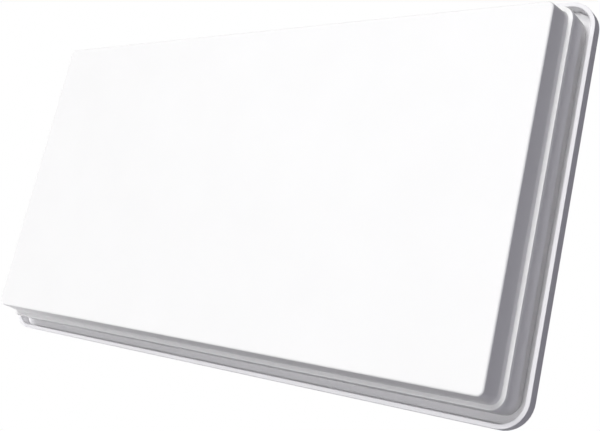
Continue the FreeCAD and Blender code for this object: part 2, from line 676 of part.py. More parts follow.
def cut_feed_tree(body, level, port, smallest):
    """Cut branching channels: a run from the port to the trunk, then ever smaller H shapes.

    An H of size 0 joins four horns, and each larger H joins four of the size below.
    """
    half = "(channel_width / 2)"
    trunk = new_sketch(body, "Trunk", level)
    long = "(horns_across / 4 * horn_pitch)"
    add_loop(trunk, [(f"-{long}", half), (f"-{long}", f"-{half}"), (f"-{half}", f"-{half}"),
                     (f"-{half}", f"-({port})"), (half, f"-({port})"), (half, f"-{half}"),
                     (long, f"-{half}"), (long, half)])
    cut(trunk, "channel_depth")
    corners = [(-1, -1, -1), (-1, 1, -1), (-1, 1, 0), (1, -1, 0), (1, -1, -1), (1, 1, -1)]
    for size in range(2, smallest - 1, -1):
        group = 2 ** (size + 1)
        arm = f"(horn_pitch * {group} / 4)"
        wide = f"(horns_across / {group})"
        tall = f"(horns_up / {group})"
        x = f"-({wide} - 1) / 2 * {group} * horn_pitch"
        y = f"-({tall} - 1) / 2 * {group} * horn_pitch"
        loop = []
        for side, edge, low in corners:
            rise = f"-{half}" if low == 0 else f"-{arm} - {half}"
            loop.append((f"{x} + {side} * {arm} + {edge} * {half}", f"{y} + {rise}"))
        for side, edge, low in reversed(corners):
            rise = half if low == 0 else f"{arm} + {half}"
            loop.append((f"{x} + {side} * {arm} + {edge} * {half}", f"{y} + {rise}"))
        branch = new_sketch(body, f"Branch{size}", level)
        add_loop(branch, loop)
        repeat(cut(branch, "channel_depth"), wide, f"{group} * horn_pitch", tall, f"{group} * horn_pitch")


def cut_port(body, name, level, port, depth):
    """Cut a waveguide port backward through a wall."""
    hole = new_sketch(body, name, level)
    add_box(hole, "port_width", "port_height", y=f"-({port})")
    cut(hole, depth)


def make_feed_plates():
    """Two plates with branching channels, one for each polarisation."""
    front = new_plate("front_feed_plate", "rear_feed_front", "feed_depth")
    rear = new_plate("rear_feed_plate", "floor_level", "feed_depth")
    for body, level in ((front, "rear_feed_front"), (rear, "floor_level")):
        bore(body, "ScrewHoles", level, array_points() + stack_points(), "screw_hole", "feed_depth")
        cut_port(body, "FrontPort", f"{level} + feed_depth", "front_port", "feed_depth")
    ears = mirror_points("ear_x", "lid_y", "lnb_drop")
    bore(rear, "EarPilots", "floor_level", ears, "small_hole", "small_bite")
    cut_port(rear, "RearPort", "rear_feed_front", "rear_port", "feed_depth")
    cut_feed_tree(front, "front_feed_front", "front_port", smallest=0)
    cut_feed_tree(rear, "rear_feed_front", "rear_port", smallest=1)
    slot = new_sketch(front, "Slot", "front_feed_front")
    add_box(slot, "slot_side", "slot_side", x="-(horns_across / 2 - 1) * horn_pitch",
            y="-(horns_up / 2 - 1) * horn_pitch")
    repeat(cut(slot, "feed_depth"), "horns_across / 2", "2 * horn_pitch", "horns_up / 2", "2 * horn_pitch")


def make_converter():
    """Low-noise converter: cast housing with two ports, board, probes and sheet lid."""
    middle = "-lnb_drop"
    lid_points = mirror_points("lid_x", "lid_y", "lnb_drop")
    board_points = mirror_points("board_x", "board_y", "lnb_drop")
    ear_points = mirror_points("ear_x", "lid_y", "lnb_drop")
    housing = new_body("converter_housing")
    flange = new_sketch(housing, "Flange", "floor_level - lnb_face")
    add_round_box(flange, "lnb_width + 2 * ear_reach", "lnb_height", "lnb_corner", y=middle)
    pad(flange, "lnb_face")
    case = new_sketch(housing, "Case", "lnb_rear")
    add_round_box(case, "lnb_width", "lnb_height", "lnb_corner", y=middle)
    pad(case, "lnb_depth - lnb_face")
    hollow = new_sketch(housing, "Hollow", "lnb_rear")
    add_round_box(hollow, "lnb_width - 2 * lnb_wall", "lnb_height - 2 * lnb_wall", "lnb_corner - lnb_wall",
                  y=middle)
    cut(hollow, "lnb_depth - lnb_face", forward=True)
    posts = new_sketch(housing, "LidPosts", "lnb_rear")
    add_circles(posts, lid_points, "post_radius")
    pad(posts, "lnb_depth - lnb_face")
    low_posts = new_sketch(housing, "BoardPosts", "floor_level - lnb_face")
    add_circles(low_posts, board_points, "post_radius")
    pad(low_posts, "board_level", backward=True)
    bore(housing, "LidPilots", "lnb_rear", lid_points, "small_hole", "small_bite + screw_spare")
    bore(housing, "BoardPilots", "board_rear + board_sheet", board_points, "small_hole", "small_bite")
    bore(housing, "EarHoles", "floor_level - lnb_face", ear_points, "small_hole", "lnb_face")
    for name, port in (("FrontPort", "front_port"), ("RearPort", "rear_port")):
        cut_port(housing, name, "floor_level", port, "lnb_face")
    stems = new_sketch(housing, "SocketHoles", "lnb_bottom", plane="XZ_Plane")
    add_circles(stems, [(f"{sign} * socket_spread / 2", "socket_level") for side, sign in socket_places()],
                "stem_radius + fit_gap")
    cut(stems, "lnb_wall")

    board = new_body("converter_board")
    sheet_outline = new_sketch(board, "Sheet", "board_rear")
    add_box(sheet_outline, "board_width", "board_height", y=middle)
    pad(sheet_outline, "board_sheet")
    bore(board, "Holes", "board_rear", board_points, "small_hole", "board_sheet")
    for label, port in (("probe_lower", "front_port"), ("probe_upper", "rear_port")):
        probe = new_body(label)
        pin = new_sketch(probe, "Pin", "board_rear + board_sheet")
        add_circles(pin, [("0", f"-({port})")], "probe_radius")
        pad(pin, "probe_reach")
    lid = new_body("converter_lid")
    lid_outline = new_sketch(lid, "Sheet", "lid_rear")
    add_round_box(lid_outline, "lnb_width", "lnb_height", "lnb_corner", y=middle)
    pad(lid_outline, "lid_sheet")
    bore(lid, "Holes", "lid_rear", lid_points, "small_hole", "lid_sheet")
    small = ("small_radius", "small_head", "small_head_height")
    make_screws("lid_screws", lid_points, "lid_rear", *small, "lid_sheet + small_bite")
    make_screws("board_screws", board_points, "board_rear", *small, "board_sheet + small_bite")
    make_screws("converter_screws", ear_points, "floor_level - lnb_face", *small, "lnb_face + small_bite")


def turned(label, sign, profile):
    """A turned piece on the axis of a cable socket; the profile gives radius and place below the middle."""
    body = new_body(label)
    body.setExpression("Placement.Base.x", ref(f"{sign} * socket_spread / 2"))
    body.setExpression("Placement.Base.y", ref("-socket_level"))
    sketch = new_sketch(body, "Profile", "0")
    add_loop(sketch, [(radius, f"-({place})") for radius, place in profile])
    feature = body.newObject("PartDesign::Revolution", "Turn")
    feature.Profile = sketch
    feature.ReferenceAxis = (sketch, ["V_Axis"])
    feature.Angle = 360
    document.recompute()


def make_sockets():
    """Two threaded cable sockets with their insulators and grommets."""
    for side, sign in socket_places():
        turned(f"cable_socket_{side}", sign, [
            ("core_radius", "socket_inner"), ("stem_radius", "socket_inner"), ("stem_radius", "lnb_bottom"),
            ("flange_radius", "lnb_bottom"), ("flange_radius", "lnb_bottom + flange_height"),
            ("barrel_radius", "lnb_bottom + flange_height"), ("barrel_radius", "thread_root"),
            ("thread_radius", "thread_root"), ("thread_radius", "thread_end - thread_lead"),
            ("thread_radius - thread_lead", "thread_end"), ("core_radius", "thread_end")])
        turned(f"socket_insulator_{side}", sign, [
            ("0", "socket_inner"), ("core_radius - fit_gap", "socket_inner"),
            ("core_radius - fit_gap", "thread_end - core_recess"),
            ("contact_radius", "thread_end - core_recess"),
            ("contact_radius", "thread_end - core_recess - contact_depth"),
            ("0", "thread_end - core_recess - contact_depth")])
        turned(f"socket_grommet_{side}", sign, [
            ("barrel_radius + fit_gap", "porch_drop - grommet_depth"),
            ("grommet_radius - fit_gap", "porch_drop - grommet_depth"),
            ("grommet_radius - fit_gap", "porch_drop"), ("collar_radius", "porch_drop"),
            ("collar_radius", "porch_drop + collar_height"),
            ("barrel_radius + fit_gap", "porch_drop + collar_height")])


def make_inserts():
    """Threaded brass inserts in the hub, for the bracket's bolts."""
    body = new_body("mount_inserts", several=True)
    points = mirror_points("bolt_offset", "bolt_offset")
    rings = new_sketch(body, "Rings", "0")
    add_circles(rings, points, "insert_radius - fit_gap")
    add_circles(rings, points, "insert_bore")
    pad(rings, "insert_length")


def make_vent():
    """Pressure vent pressed into the bulge from behind."""
    body = new_body("vent_plug")
    place = [("0", "vent_lift")]
    cap = new_sketch(body, "Cap", "bulge_rear")
    add_circles(cap, place, "vent_cap")
    pad(cap, "vent_rise", backward=True)
    soften(body, circle_edges(body, "bulge_rear - vent_rise", "vent_cap"), "vent_edge")
    stem = new_sketch(body, "Stem", "bulge_rear")
    add_circles(stem, place, "vent_radius - fit_gap")
    pad(stem, "vent_barb")
    way = new_sketch(body, "AirWay", "bulge_rear + vent_barb")
    add_circles(way, place, "vent_bore")
    cut(way, "vent_barb + vent_rise - vent_cover")


make_radome()
make_seal()
make_tray()
case_screw = ("screw_radius", "head_radius", "head_height")
make_screws("cover_screws", cover_points(), "floor_rear", *case_screw, "tray_floor + cover_bite")
make_horn_plate()
make_feed_plates()
make_screws("array_screws", array_points(), "floor_rear", *case_screw,
            "tray_floor + 2 * feed_depth + array_bite")
make_screws("stack_screws", stack_points(), "floor_level", *case_screw, "2 * feed_depth + array_bite")
make_converter()
make_sockets()
make_inserts()
make_vent()

document.recompute()
for item in document.Objects:
    if "Invalid" in item.State or "Error" in item.State:
        raise RuntimeError(f"{item.Label}: {item.State}")
for body in nodes:
    if body.Shape.isNull() or not body.Shape.isValid():
        raise RuntimeError(f"{body.Label} has no sound shape")
os.makedirs("parts", exist_ok=True)
for body in nodes:
    body.Shape.exportStep(f"parts/{body.Label}.step")
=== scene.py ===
"""Looks of a flat satellite antenna: a stepped white radome seated in a rimmed white tray.

The scene is in metres, in the part's own frame: x to the right seen from the front, z up, and y from
the face (negative) to the mounting face at y = 0. The sizes of pieces are named in millimetres.
"""
import math

import bpy
import numpy as np
from mathutils import Matrix, Vector


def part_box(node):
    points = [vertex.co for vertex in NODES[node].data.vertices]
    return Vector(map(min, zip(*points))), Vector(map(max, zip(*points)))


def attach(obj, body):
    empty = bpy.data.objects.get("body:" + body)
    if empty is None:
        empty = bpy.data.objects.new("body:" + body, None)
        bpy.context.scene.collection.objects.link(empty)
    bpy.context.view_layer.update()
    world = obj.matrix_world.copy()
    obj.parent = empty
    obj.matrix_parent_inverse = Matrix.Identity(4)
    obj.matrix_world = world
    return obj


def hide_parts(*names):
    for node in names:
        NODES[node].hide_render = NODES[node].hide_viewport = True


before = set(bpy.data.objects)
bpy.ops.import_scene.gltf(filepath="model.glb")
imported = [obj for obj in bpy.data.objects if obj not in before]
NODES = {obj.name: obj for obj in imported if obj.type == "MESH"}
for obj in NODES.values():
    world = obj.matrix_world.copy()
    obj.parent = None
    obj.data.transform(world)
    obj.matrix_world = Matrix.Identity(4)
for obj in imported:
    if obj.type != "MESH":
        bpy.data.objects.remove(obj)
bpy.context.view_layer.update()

MM = 0.001
TURN = 2.0 * math.pi

# Camera: where it stands, where it looks, which way is up in the picture, and its lens.
CAMERA_PLACE = (0.51113, -0.57407, -0.15570)
CAMERA_AXIS = (-0.63223, 0.75034, 0.19308)
CAMERA_UP = (-0.05011, -0.28828, 0.95623)
CAMERA_LENS = 54.86
CAMERA_NEAR = 0.01
CAMERA_FAR = 100.0
SENSOR_WIDTH = 36.0

# Floor: its level and reach, its own colour, and how it fades from a share of white to plain white.
FLOOR_LEVEL = -0.9
FLOOR_REACH = 14.0
FLOOR_COLOUR = (0.218, 0.212, 0.24)
FLOOR_ROUGHNESS = 0.9
FADE_START = 1.1
FADE_END = 2.4
FADE_SHARE = 0.75

# Lamps: name, place, aim, side length, power in watts, colour.
MIDDLE = (0.0, 0.0, 0.0)
PLAIN = (1.0, 1.0, 1.0)
COOL = (0.88, 0.86, 1.0)
LAMPS = [
    ("key_front", (-3.3, -16.89, 5.25), MIDDLE, 3.0, 982.0, PLAIN),
    ("key_left", (-7.29, -15.6, 5.25), MIDDLE, 3.0, 636.0, PLAIN),
    ("high_left", (-3.57, -13.32, 11.58), MIDDLE, 3.0, 582.0, PLAIN),
    ("high_front", (0.287, -1.431, 0.808), MIDDLE, 0.27, 3.55, PLAIN),
    ("low_front", (-0.02, -2.47, -0.39), MIDDLE, 0.4, 10.5, PLAIN),
    ("low_centre", (-0.02, -2.41, -0.65), MIDDLE, 0.4, 6.1, PLAIN),
    ("right", (3.86, -1.03, 0.0), MIDDLE, 0.8, 21.5, COOL),
    ("low_left", (-0.44, -0.055, -0.27), (-0.2, -0.045, -0.13), 0.1, 0.3, PLAIN),
    ("back", (-1.66, 3.57, 0.69), MIDDLE, 1.0, 110.0, PLAIN),
]

# Finishes, by the record's material slot; finish_of says what each value means.
EVEN = (1.0, 1.0, 1.0)
LENGTHWISE = (1.0, 1.0, 0.04)
NOISE_LOW = 0.3
NOISE_HIGH = 0.7
GRAIN_DETAIL = 2.0
BLOTCH_DETAIL = 3.0
FINISHES = {
    "radome_white": dict(colours=((0.858, 0.857, 0.851), (0.870, 0.869, 0.863)), roughness=(0.52, 0.64),
                         grain=2600.0, depth=1.2e-5, gloss=0.2),
    "tray_white": dict(colours=((0.787, 0.782, 0.796), (0.801, 0.797, 0.809)), roughness=(0.54, 0.68),
                       grain=1900.0, depth=2.0e-5, gloss=0.2),
    "seal_rubber": dict(colours=((0.022, 0.022, 0.023), (0.034, 0.034, 0.035)), roughness=(0.62, 0.82),
                        grain=2200.0, depth=2.0e-5),
    "screw_steel": dict(colours=((0.60, 0.60, 0.61), (0.68, 0.68, 0.66)), roughness=(0.26, 0.42),
                        grain=3200.0, depth=4.0e-6, metallic=1.0, blotch=240.0),
    "plated_moulding": dict(colours=((0.70, 0.70, 0.69), (0.75, 0.75, 0.74)), roughness=(0.28, 0.44),
                            grain=900.0, depth=6.0e-6, metallic=1.0),
    "cast_alloy": dict(colours=((0.53, 0.53, 0.53), (0.61, 0.61, 0.61)), roughness=(0.45, 0.65),
                       grain=1500.0, depth=2.5e-5, metallic=1.0, blotch=60.0),
    "lid_alloy": dict(colours=((0.67, 0.67, 0.67), (0.73, 0.73, 0.73)), roughness=(0.25, 0.45),
                      grain=2400.0, depth=5.0e-6, metallic=1.0, stretch=LENGTHWISE, blotch=40.0),
    "board_laminate": dict(colours=((0.02, 0.16, 0.07), (0.05, 0.26, 0.12)), roughness=(0.22, 0.38),
                           grain=1100.0, depth=8.0e-6, blotch=160.0),
    "insert_brass": dict(colours=((0.68, 0.51, 0.21), (0.76, 0.59, 0.28)), roughness=(0.24, 0.40),
                         grain=2600.0, depth=5.0e-6, metallic=1.0, blotch=300.0),
    "socket_nickel": dict(colours=((0.64, 0.62, 0.58), (0.71, 0.69, 0.65)), roughness=(0.16, 0.30),
                          grain=3000.0, depth=3.0e-6, metallic=1.0, blotch=300.0),
    "insulator_white": dict(colours=((0.88, 0.88, 0.85), (0.91, 0.91, 0.89)), roughness=(0.34, 0.48),
                            grain=2000.0, depth=8.0e-6, blotch=200.0),
    "vent_grey": dict(colours=((0.27, 0.27, 0.28), (0.33, 0.33, 0.34)), roughness=(0.42, 0.58),
                      grain=2400.0, depth=2.0e-5, blotch=120.0),
}

# The CAD nodes that wear each finish.
NODE_SLOTS = {
    "radome_white": ["radome"],
    "tray_white": ["back_tray"],
    "seal_rubber": ["seal_ring", "socket_grommet_left", "socket_grommet_right"],
    "screw_steel": ["cover_screws", "array_screws", "stack_screws", "lid_screws", "board_screws",
                    "converter_screws"],
    "plated_moulding": ["horn_plate", "front_feed_plate", "rear_feed_plate"],
    "cast_alloy": ["converter_housing"],
    "lid_alloy": ["converter_lid"],
    "board_laminate": ["converter_board"],
    "insert_brass": ["mount_inserts", "probe_lower", "probe_upper"],
    "socket_nickel": ["cable_socket_left", "cable_socket_right"],
    "insulator_white": ["socket_insulator_left", "socket_insulator_right"],
    "vent_grey": ["vent_plug"],
}

# Shared values: the weld's reach in metres, sharp edges in degrees, and the radii that one solid spans.
WELD_REACH = 1e-6
NODE_CREASE = 32.0
PIECE_CREASE = 35.0
SOLID_REACH = 3.0

# Radome: lengths in millimetres; the foot's lean and the angle of sharp edges in degrees.
FACE_CORNER = 5.0
FACE_EDGE = 1.6
FACE_STEP = 19.2
FACE_FLARE = 2.0
FOOT_REACH = 0.7
FOOT_LEAN = 18.6
LEDGE_WIDTH = 4.25
BROW_REACH = 0.55
BROW_DROP = 2.0
SKIRT_FLARE = 0.15
RADOME_WALL = 2.5
CRISP_EDGE = 0.25
RADOME_CREASE = 28.0
SEAL_LIP = 0.7
SEAL_WIDTH = 1.3
SEAL_DEPTH = 1.5
BOSS_RADIUS = 3.3
BOSS_HEIGHT = 13.0
PILOT_RADIUS = 1.6
PILOT_DEPTH = 11.0
BOSS_COLUMNS = 32

# Screws, in millimetres; the head's edge is a share of its height, the crown's end an angle in radians.
HEAD_RADIUS = 2.9
HEAD_HEIGHT = 2.0
HEAD_EDGE = 0.3
CROWN_END = 0.08
SHANK_RADIUS = 1.5
SHANK_BEVEL = 0.3
SHANK_TAPER = 0.6
RECESS_REACH = 1.75
RECESS_WIDTH = 0.8
RECESS_DEPTH = 1.15
RECESS_FLANK = 0.12
RECESS_RUN_OUT = 0.35
TIP_RADIUS = 0.2
CROWN_ROWS = 20
SCREW_COLUMNS = 64
SPIN_SEED = 7

# Cable sockets, in millimetres. Edges are the radii along a section, in order.
THREAD_RADIUS = 4.76
THREAD_PITCH = 0.794
THREAD_DEPTH = 0.45
THREAD_LENGTH = 12.5
THREAD_LEAD = 0.6
ROWS_IN_PITCH = 10.0
BARREL_RADIUS = 5.3
FLANGE_RADIUS = 6.4
FLANGE_HEIGHT = 3.0
STEM_RADIUS = 3.9
STEM_LENGTH = 4.0
CORE_RADIUS = 3.2
CORE_BEVEL = 0.1
LIP_DROP = 0.05
LIP_INSET = 0.8
LIP_BEVEL = 0.15
SOCKET_COLUMNS = 56
SOCKET_EDGES = [0.2, 0.2, 0.3, 0.3, 0.2, 0.25]

# Grommets, in millimetres.
GROMMET_RADIUS = 7.1
GROMMET_ROOM = 0.1
GROMMET_TAPER = 0.4
GROMMET_LEAD = 0.8
COLLAR_RADIUS = 8.2
COLLAR_HEIGHT = 2.0
MOUTH_FLARE = 0.7
MOUTH_DEPTH = 0.5
GROMMET_EDGES = [0.2, 0.3, 0.2, 0.25, 0.8, 0.3]

# Inserts, in millimetres; the knurl's twist is radians in a millimetre.
INSERT_RADIUS = 4.4
INSERT_BORE = 2.5
INSERT_PITCH = 0.8
INSERT_THREAD = 0.35
INSERT_LIP = 0.5
INSERT_BEVEL = 0.3
INSERT_MOUTH = 0.5
KNURL_DEPTH = 0.12
KNURL_COUNT = 16.0
KNURL_TWIST = 2.0
KNURL_ROWS = 24
BORE_ROWS = 70
INSERT_COLUMNS = 64

# Vent plug, in millimetres.
VENT_CAP = 8.0
VENT_RISE = 2.4
VENT_STEM = 4.9
VENT_TAPER = 0.5
VENT_LEAD = 0.8
VENT_BORE = 2.0
VENT_COVER = 1.0
VENT_TEETH = 18
TOOTH_COLUMNS = 3
TOOTH_DEPTH = 0.7
TOOTH_REACH = 0.75
TOOTH_MARGIN = 0.1
SUNK_INSET = 2.0
SUNK_WIDTH = 1.5
SUNK_FLANK = 0.3
SUNK_DEPTH = 0.35
VENT_EDGES = [0.2, 0.2, 0.2, 0.3, 0.3, 0.3, 0.7, 0.15, 0.15, 0.15, 0.15]


def link(thing):
    """Put an object into the scene."""
    bpy.context.scene.collection.objects.link(thing)
    return thing


# Finishes

def new_material(name):
    """Empty node material with its principled shader."""
    material = bpy.data.materials.new(name)
    material.use_nodes = True
    tree = material.node_tree
    return material, tree, tree.nodes["Principled BSDF"]


def noise(tree, scale, detail, stretch=EVEN):
    """Noise in the part's own coordinates; the scale counts grains in a metre."""
    place = tree.nodes.new("ShaderNodeTexCoord")
    mapping = tree.nodes.new("ShaderNodeMapping")
    mapping.inputs["Scale"].default_value = stretch
    texture = tree.nodes.new("ShaderNodeTexNoise")
    texture.inputs["Scale"].default_value = scale
    texture.inputs["Detail"].default_value = detail
    tree.links.new(place.outputs["Object"], mapping.inputs["Vector"])
    tree.links.new(mapping.outputs["Vector"], texture.inputs["Vector"])
    return texture.outputs["Fac"]


def spread(tree, value, low, high):
    """Spread the middle of a noise value's range between two limits."""
    node = tree.nodes.new("ShaderNodeMapRange")
    node.inputs["From Min"].default_value = NOISE_LOW
    node.inputs["From Max"].default_value = NOISE_HIGH
    node.inputs["To Min"].default_value = low
    node.inputs["To Max"].default_value = high
    tree.links.new(value, node.inputs["Value"])
    return node.outputs["Result"]


def tint(tree, value, first, second):
    """Mix two colours by a value from 0 to 1."""
    node = tree.nodes.new("ShaderNodeMix")
    node.data_type = "RGBA"
    node.inputs["A"].default_value = (*first, 1.0)
    node.inputs["B"].default_value = (*second, 1.0)
    tree.links.new(value, node.inputs["Factor"])
    return node.outputs["Result"]


def emboss(tree, shader, height, depth):
    """Raise the surface by a height value, up to a depth in metres."""
    bump = tree.nodes.new("ShaderNodeBump")
    bump.inputs["Distance"].default_value = depth
    bump.inputs["Strength"].default_value = 1.0
    tree.links.new(height, bump.inputs["Height"])
    tree.links.new(bump.outputs["Normal"], shader.inputs["Normal"])


def finish_of(name, colours, roughness, grain, depth, metallic=0.0, gloss=0.5, stretch=EVEN, blotch=18.0):
    """Finish with blotchy colour, uneven gloss and a fine grain, all in the part's own coordinates.

    The colour wanders between two colours from blotch to blotch, and the roughness between two
    limits from grain to grain. Blotch and grain count them in a metre; depth is the grain's, in metres.
    """
    material, tree, shader = new_material(name)
    shader.inputs["Metallic"].default_value = metallic
    shader.inputs["Specular IOR Level"].default_value = gloss
    cloud = noise(tree, blotch, BLOTCH_DETAIL)
    tree.links.new(tint(tree, spread(tree, cloud, 0.0, 1.0), *colours), shader.inputs["Base Color"])
    fine = noise(tree, grain, GRAIN_DETAIL, stretch)
    tree.links.new(spread(tree, fine, *roughness), shader.inputs["Roughness"])
    emboss(tree, shader, fine, depth)
    return material


def make_finishes():
    """One finish for each of the record's material slots."""
    return {slot: finish_of(slot, **look) for slot, look in FINISHES.items()}


# Camera and studio

def make_camera():
    """Camera with its back axis against the view and its own up vector."""
    view = Vector(CAMERA_AXIS).normalized()
    right = view.cross(Vector(CAMERA_UP)).normalized()
    up = right.cross(view)
    data = bpy.data.cameras.new("camera")
    data.lens = CAMERA_LENS
    data.sensor_width = SENSOR_WIDTH
    data.sensor_fit = "HORIZONTAL"
    data.clip_start = CAMERA_NEAR
    data.clip_end = CAMERA_FAR
    camera = link(bpy.data.objects.new("camera", data))
    turn = Matrix((right, up, -view)).transposed().to_4x4()
    camera.matrix_world = Matrix.Translation(CAMERA_PLACE) @ turn
    bpy.context.scene.camera = camera


def larger(tree, first, second):
    """Node that gives the larger of two values."""
    node = tree.nodes.new("ShaderNodeMath")
    node.operation = "MAXIMUM"
    tree.links.new(first, node.inputs[0])
    tree.links.new(second, node.inputs[1])
    return node.outputs[0]


def seen_directly(tree):
    """Value that is 1 for rays from the camera, from mirrors and through glass, and 0 for all others."""
    path = tree.nodes.new("ShaderNodeLightPath")
    mirrored = larger(tree, path.outputs["Is Glossy Ray"], path.outputs["Is Transmission Ray"])
    return larger(tree, path.outputs["Is Camera Ray"], mirrored)


def make_world():
    """White to the camera, to mirrors and through glass; it throws no light on dull surfaces."""
    world = bpy.data.worlds.new("studio")
    bpy.context.scene.world = world
    world.use_nodes = True
    tree = world.node_tree
    tree.nodes.clear()
    white = tree.nodes.new("ShaderNodeBackground")
    white.inputs["Color"].default_value = (*PLAIN, 1.0)
    output = tree.nodes.new("ShaderNodeOutputWorld")
    tree.links.new(seen_directly(tree), white.inputs["Strength"])
    tree.links.new(white.outputs[0], output.inputs["Surface"])


def make_lamps():
    """Soft square lamps, each turned to its aim and hidden from the camera."""
    for name, place, aim, side, power, colour in LAMPS:
        data = bpy.data.lights.new(name, "AREA")
        data.shape = "SQUARE"
        data.size = side
        data.energy = power
        data.color = colour
        lamp = link(bpy.data.objects.new(name, data))
        lamp.location = place
        lamp.rotation_euler = (Vector(aim) - Vector(place)).to_track_quat("-Z", "Y").to_euler()
        lamp.visible_camera = False


def make_floor():
    """Square floor that looks pale, keeps the part's shadow, and turns to plain white further out."""
    reach = FLOOR_REACH
    corners = [(-reach, -reach, FLOOR_LEVEL), (reach, -reach, FLOOR_LEVEL),
               (reach, reach, FLOOR_LEVEL), (-reach, reach, FLOOR_LEVEL)]
    mesh = bpy.data.meshes.new("floor")
    mesh.from_pydata(corners, [], [(0, 1, 2, 3)])
    floor = link(bpy.data.objects.new("floor", mesh))
    material, tree, shader = new_material("floor_pale")
    shader.inputs["Base Color"].default_value = (*FLOOR_COLOUR, 1.0)
    shader.inputs["Roughness"].default_value = FLOOR_ROUGHNESS
    place = tree.nodes.new("ShaderNodeTexCoord")
    length = tree.nodes.new("ShaderNodeVectorMath")
    length.operation = "LENGTH"
    fade = tree.nodes.new("ShaderNodeMapRange")
    fade.interpolation_type = "SMOOTHSTEP"
    fade.inputs["From Min"].default_value = FADE_START
    fade.inputs["From Max"].default_value = FADE_END
    fade.inputs["To Min"].default_value = FADE_SHARE
    share = tree.nodes.new("ShaderNodeMath")
    share.operation = "MULTIPLY"
    white = tree.nodes.new("ShaderNodeEmission")
    mix = tree.nodes.new("ShaderNodeMixShader")
    tree.links.new(place.outputs["Object"], length.inputs[0])
    tree.links.new(length.outputs["Value"], fade.inputs["Value"])
    tree.links.new(fade.outputs["Result"], share.inputs[0])
    tree.links.new(seen_directly(tree), share.inputs[1])
    tree.links.new(share.outputs[0], mix.inputs["Fac"])
    tree.links.new(shader.outputs[0], mix.inputs[1])
    tree.links.new(white.outputs[0], mix.inputs[2])
    tree.links.new(mix.outputs[0], tree.nodes["Material Output"].inputs["Surface"])
    mesh.materials.append(material)


# Surfaces

def finish_mesh(name, points, quads, triangles, crease):
    """Mesh object from whole arrays of points and faces, turned to face outwards by its signed volume."""
    faces = np.concatenate([quads[:, :3], quads[:, [0, 2, 3]], triangles])
    a, b, c = (points[faces[:, corner]] for corner in range(3))
    outward = np.einsum("ij,ij->", a, np.cross(b, c)) > 0.0
    if not outward:
        quads = quads[:, ::-1]
        triangles = triangles[:, ::-1]
    mesh = bpy.data.meshes.new(name)
    mesh.from_pydata(points.tolist(), [], quads.tolist() + triangles.tolist())
    mesh.polygons.foreach_set("use_smooth", np.ones(len(mesh.polygons), bool))
    mesh.set_sharp_from_angle(angle=math.radians(crease))
    mesh.update()
    return link(bpy.data.objects.new(name, mesh))


def ring_faces(count, rows, columns, looped):
    """Quads between neighbouring rings, for several separate stacks of rings of the same build."""
    row = np.arange(rows if looped else rows - 1)
    column = np.arange(columns)
    stack = np.arange(count)[:, None, None] * rows * columns
    here = row[:, None] * columns
    there = (row[:, None] + 1) % rows * columns
    right = (column + 1) % columns
    corners = [here + column, here + right, there + right, there + column]
    return np.stack([stack + corner[None] for corner in corners], -1).reshape(-1, 4)


def ring_stack(name, rings, looped, crease=PIECE_CREASE):
    """Solid skin through rings: rings has the shape (stacks, rows, columns, 3).

    A looped stack closes from its last ring to its first, as a tube with a bore does; any other
    has a fan of triangles from each end ring to the ring's middle.
    """
    count, rows, columns = rings.shape[:3]
    points = rings.reshape(-1, 3)
    quads = ring_faces(count, rows, columns, looped)
    triangles = np.zeros((0, 3), int)
    if not looped:
        first = np.arange(count)[:, None] * rows * columns + np.arange(columns)
        ends = np.concatenate([first, first + (rows - 1) * columns])
        middles = len(points) + np.arange(2 * count)
        tips = np.concatenate([rings[:, 0].mean(1), rings[:, -1].mean(1)])
        points = np.concatenate([points, tips])
        fans = np.stack([np.roll(ends, -1, 1), ends, np.broadcast_to(middles[:, None], ends.shape)], -1)
        fans[count:] = fans[count:, :, [1, 0, 2]]
        triangles = fans.reshape(-1, 3)
    return finish_mesh(name, points, quads, triangles, crease)


def rounded(corners, radii, steps=6):
    """Polyline whose inner corners are replaced by tangent arcs of the given radii."""
    corners = np.asarray(corners, float)
    points = [corners[:1]]
    for before, corner, after, radius in zip(corners, corners[1:], corners[2:], radii):
        back = (before - corner) / np.linalg.norm(before - corner)
        ahead = (after - corner) / np.linalg.norm(after - corner)
        half = math.acos(float(np.clip(back @ ahead, -1.0, 1.0))) / 2.0
        middle = corner + (back + ahead) / np.linalg.norm(back + ahead) * radius / math.sin(half)
        start = corner + back * radius / math.tan(half) - middle
        end = corner + ahead * radius / math.tan(half) - middle
        sweep = math.pi - 2.0 * half
        share = np.linspace(0.0, 1.0, steps + 1)[:, None]
        arc = (np.sin((1.0 - share) * sweep) * start + np.sin(share * sweep) * end) / math.sin(sweep)
        points.append(middle + arc)
    points.append(corners[-1:])
    return np.concatenate(points)


def outline_rings(half_width, half_height, corner, level, arc_steps=14):
    """Rounded rectangles, one for each row: straight sides joined by quarter circles.

    Each argument is an array over the rows; corner is the radius, and level is the place on y.
    """
    quarter = np.linspace(0.0, TURN / 4.0, arc_steps + 1)
    angle = np.concatenate([quarter + turn * TURN / 4.0 for turn in range(4)])
    side = np.repeat([1.0, -1.0, -1.0, 1.0], arc_steps + 1)
    rise = np.repeat([1.0, 1.0, -1.0, -1.0], arc_steps + 1)
    x = side * (half_width - corner)[:, None] + corner[:, None] * np.cos(angle)
    z = rise * (half_height - corner)[:, None] + corner[:, None] * np.sin(angle)
    y = np.broadcast_to(level[:, None], x.shape)
    return np.stack([x, y, z], -1)


def round_angles(columns):
    """Angles of a ring's columns, evenly round the circle."""
    return np.linspace(0.0, TURN, columns, endpoint=False)


def lathe(radius, place, columns=48):
    """Rings turned about an axis: radius and place along it, by rows, or by rows and columns."""
    angle = round_angles(columns)
    radius = np.broadcast_to(radius.reshape(len(radius), -1), (len(radius), columns))
    place = np.broadcast_to(place.reshape(len(place), -1), (len(place), columns))
    return radius * np.cos(angle), radius * np.sin(angle), place


